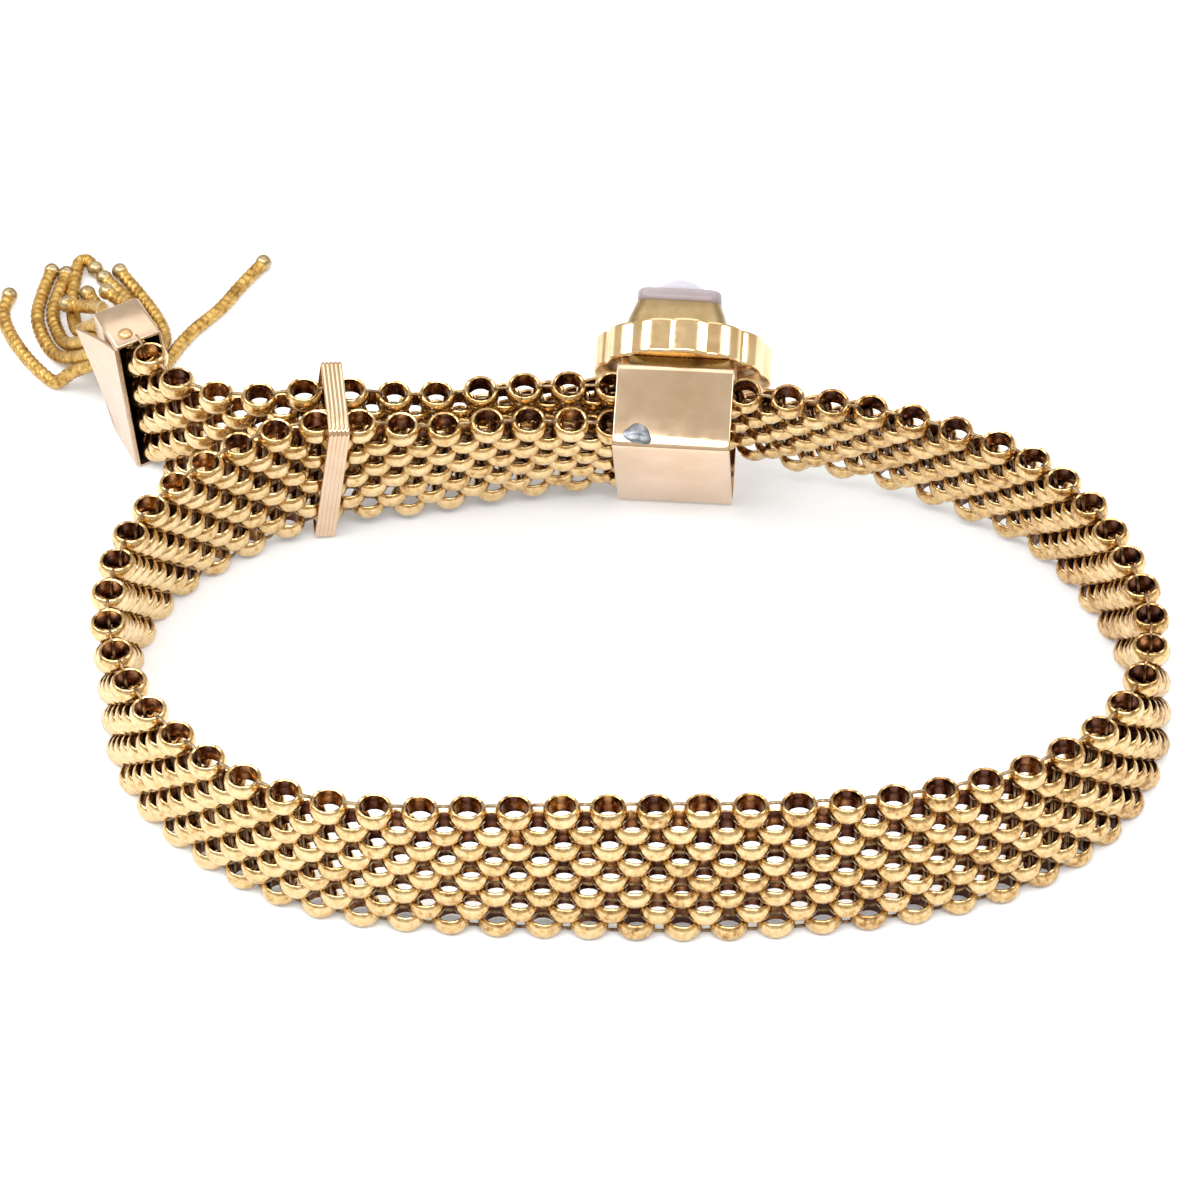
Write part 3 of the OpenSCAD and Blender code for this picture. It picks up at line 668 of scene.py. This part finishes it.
# The bent sheet: u runs from 1 at the tassel's end to 0 at the mouth and v from 0 below to 1 above.
# It stands off by stand_off times a power of each, and its upper edge falls towards the tassel.
edge_in, stand_off, fall, out_face, in_face = 0.3, 1.3, 0.5, 0.12, -0.1
u, v = np.linspace(1, 0, 13)[:, None], np.linspace(0, 1, 13)[None]
low, high = edge_in - cap_w / 2, cap_w / 2 - edge_in
bend = stand_off * u**1.5 * v**1.3 - 0.12 * u * (1 - v)
sheet_y = np.concatenate([cap_t / 2 + out_face + bend, (cap_t / 2 + in_face + bend)[:, ::-1]], 1)
sheet_z = low + (high - fall * u - low) * v + 0 * u
sheet_z = np.concatenate([sheet_z, sheet_z[:, ::-1]], 1)
sheet_x = (u * cap_l - half) + 0 * sheet_y
sheet_grid = np.stack([sheet_x, sheet_y, sheet_z], -1)
bent_sheet = put_together("bent_sheet", on_cap(sheet_grid), wrap=False, lids=True)

# The rivet's head is a low round cap: its height times the root of one less the square of the share
# of its radius.
rivet_sides, rivet_r, rivet_h, rivet_x, rivet_y = 20, 0.55, 0.4, 0.95, 0.6
turn = np.arange(rivet_sides) * 2 * np.pi / rivet_sides
share = np.array([1, 0.97, 0.85, 0.65, 0.4, 0.15])[:, None]
rivet_grid = np.stack([
    rivet_r * share * np.cos(turn) + rivet_x - half, rivet_r * share * np.sin(turn) + rivet_y,
    cap_w / 2 - 0.02 + rivet_h * np.sqrt(1 - share**2) + 0 * turn], -1)
rivet = put_together("cap_rivet", on_cap(rivet_grid), wrap=False, lids=True)
pale_rose = aged_metal(
    "pale_rose_gold", [(0.62, 0.46, 0.33), (0.7, 0.54, 0.41)], 200, (0.22, 0.32), 0.05)
orange_gold = aged_metal(
    "orange_gold", [(0.6, 0.34, 0.14), (0.8, 0.52, 0.28)], 900, (0.3, 0.4), 0.1)
for piece, gold in ((cap_box, pale_rose), (bent_sheet, pale_rose), (rivet, orange_gold)):
    piece.data.materials.append(gold)
    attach(piece, "root")
    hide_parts("end_cap")
# The cap's near-black inside is painted shade.
cap_box.data.materials.append(aged_metal(
    "painted_shade_inside", [(0.02, 0.015, 0.015), (0.06, 0.04, 0.03)], 800, (0.5, 0.7), 0.1))


# The tassel: ten short chains of soft yellow gold, worked as a tight four-sided braid, with a ball
# at each tip. They are soldered to a small plate behind the end cap and lie fanned on the table.
chain_d, tip_d, head_l, head_h, head_z = 0.95, 1.25, 0.8, 5.8, 6.9
head_x = cap_l / 2 + fit + head_l / 2

# Each chain: its side of the head plate (1 towards the wrist, -1 away), its height on the plate,
# and the points that its line passes.
chains = [
    [1, 4.8, [-33.3, 18.5, 4.2], [-35.2, 20.2, 2.2], [-36.8, 21, 0.5], [-38.6, 23.2, 0.5],
     [-40.2, 26.1, 0.5], [-41, 28.7, 0.5], [-40.7, 30.7, 0.65]],
    [1, 5.9, [-33.4, 18.7, 5.1], [-35.1, 21.1, 2.7], [-36.7, 23.6, 0.8], [-37.8, 25.7, 0.5],
     [-38.5, 28.3, 0.5], [-38.3, 31.1, 0.5], [-37.8, 33.5, 0.65]],
    [1, 7, [-33.3, 18.9, 6.2], [-34.8, 21.7, 3.6], [-36.1, 24.5, 1.2], [-37, 26.9, 0.5],
     [-37.4, 29.3, 0.5], [-36.7, 33.2, 0.65]],
    [1, 8.1, [-33.1, 19.1, 7.3], [-34.2, 22.3, 4.5], [-35.3, 25.3, 1.8], [-35.9, 28.6, 0.6],
     [-36.1, 31.3, 0.5], [-35.9, 34.3, 0.6], [-35.3, 34.7, 0.7], [-34.6, 33.7, 0.7]],
    [1, 9.2, [-32.7, 19.3, 8.4], [-33.2, 22.9, 5.8], [-34, 25.7, 3.6], [-35, 27.5, 2.2],
     [-36.3, 28.5, 1.6]],
    [-1, 7.8, [-31.6, 19.7, 6.9], [-32.2, 23.3, 4.4], [-33.2, 26.7, 2], [-34.2, 29.3, 0.8],
     [-35, 30.9, 0.65]],
    [-1, 5.6, [-30.9, 19.3, 4.7], [-29.6, 22.5, 2.2], [-29.1, 25.7, 0.6], [-29.7, 28.1, 0.5],
     [-31.1, 30.8, 0.5], [-32.8, 33.5, 0.65]],
    [-1, 6.7, [-31.2, 19.5, 5.8], [-30.2, 22.9, 3.2], [-30, 25.7, 1.5], [-30.8, 28.1, 0.6],
     [-32.3, 30.7, 0.5], [-33.9, 32.7, 0.65]],
    [-1, 8.9, [-31.3, 19.7, 8], [-30.9, 23.3, 5.1], [-31, 26.1, 2.9], [-32, 28.3, 1.7],
     [-33.5, 30.1, 1.5]],
    [-1, 4.5, [-30.4, 18.9, 3.5], [-29.2, 21.5, 1.3], [-28.5, 23.9, 0.5], [-27.2, 26.6, 0.5],
     [-25.2, 29.4, 0.5], [-23.8, 32.1, 0.5], [-22.3, 34.5, 0.65]],
]
chain_steps, link = 170, 0.56


def chain_line(chain):
    """A chain's line and the length run along it, in even steps: the smooth curve from the head
    plate through its points, held up where it would sink below a little over half the chain."""
    root = on_cap([head_x, chain[0] * chain_d / 2, chain[1] - cap_z])
    line = smooth([root] + chain[2:], 12)
    line[:, 2] = np.maximum(line[:, 2], 0.52 * chain_d)
    length = running(line)
    even = np.linspace(0, length[-1], chain_steps)
    return np.column_stack([np.interp(even, length, line[:, c]) for c in range(3)] + [even])


lines = np.stack([chain_line(chain) for chain in chains])
flow = np.gradient(lines[..., :3], axis=1)
flow /= np.linalg.norm(flow, axis=-1, keepdims=True)
out = np.cross(flow, [0, 0, 1.0])
out /= np.linalg.norm(out, axis=-1, keepdims=True)
up = np.cross(out, flow)

# The braid: a round cord whose section swells upwards and sideways by turns, once in each link, as
# the cosine of the length run times the cosine of twice the turn round it.
chain_sides = 12
turn = np.arange(chain_sides) * 2 * np.pi / chain_sides
bead = np.cos(2 * np.pi * lines[..., 3:] / link)
radius = chain_d / 2 * (0.97 + 0.13 * bead * np.cos(2 * turn) + 0.04 * abs(bead))
chain_grid = lines[:, :, None, :3] + radius[..., None] * (
    out[:, :, None] * np.sin(turn)[:, None] + up[:, :, None] * np.cos(turn)[:, None])
chain_grid[..., 2] = np.maximum(chain_grid[..., 2], clear)
braid = put_together("tassel_chains", chain_grid, wrap=False, lids=True, sharp=80)

# A ball lies on the table where its chain ends, and is raised by as much as the tip hangs above it.
tip_rest = 0.65
polar = np.radians([12, 35, 60, 85, 110, 135, 160])[:, None]
ball = tip_d / 2 * np.stack(
    [np.sin(polar) * np.cos(turn), -np.sin(polar) * np.sin(turn), np.cos(polar) + 0 * turn], -1)
hang = np.maximum(lines[:, -1, 2] - tip_rest, 0)[:, None, None, None]
tip_at = lines[:, -1, None, None, :3] * [1, 1, 0] + [0, 0, tip_d / 2 + 2 * clear] + hang * [0, 0, 1]
balls = put_together("tassel_tips", tip_at + ball, wrap=False, lids=True)

# The head plate is a thin block, its far edge bevelled.
bevel, far, near = 0.08, head_x + head_l / 2, head_x - head_l / 2
plate = np.stack([np.insert(rounded(2 * chain_d - 2 * d, head_h - 2 * d, 0.25), 0, x, axis=1)
                  for x, d in ((far, bevel), (far - bevel, 0), (near, 0))])
plate = on_cap(plate + [0, 0, head_z - cap_z])
head_plate = put_together("tassel_head", plate, wrap=False, lids=True)
soft_gold = aged_metal(
    "soft_yellow_chain", [(0.3, 0.16, 0.04), (0.56, 0.35, 0.1), (0.7, 0.48, 0.17)],
    1800, (0.4, 0.5), 0.25)
grey_gold = aged_metal("grey_gold", [(0.3, 0.22, 0.12), (0.6, 0.47, 0.28)], 1500, (0.3, 0.42), 0.2)
for piece, gold in ((braid, soft_gold), (balls, grey_gold), (head_plate, soft_gold)):
    piece.data.materials.append(gold)
    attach(piece, "root")
    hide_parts("tassel")
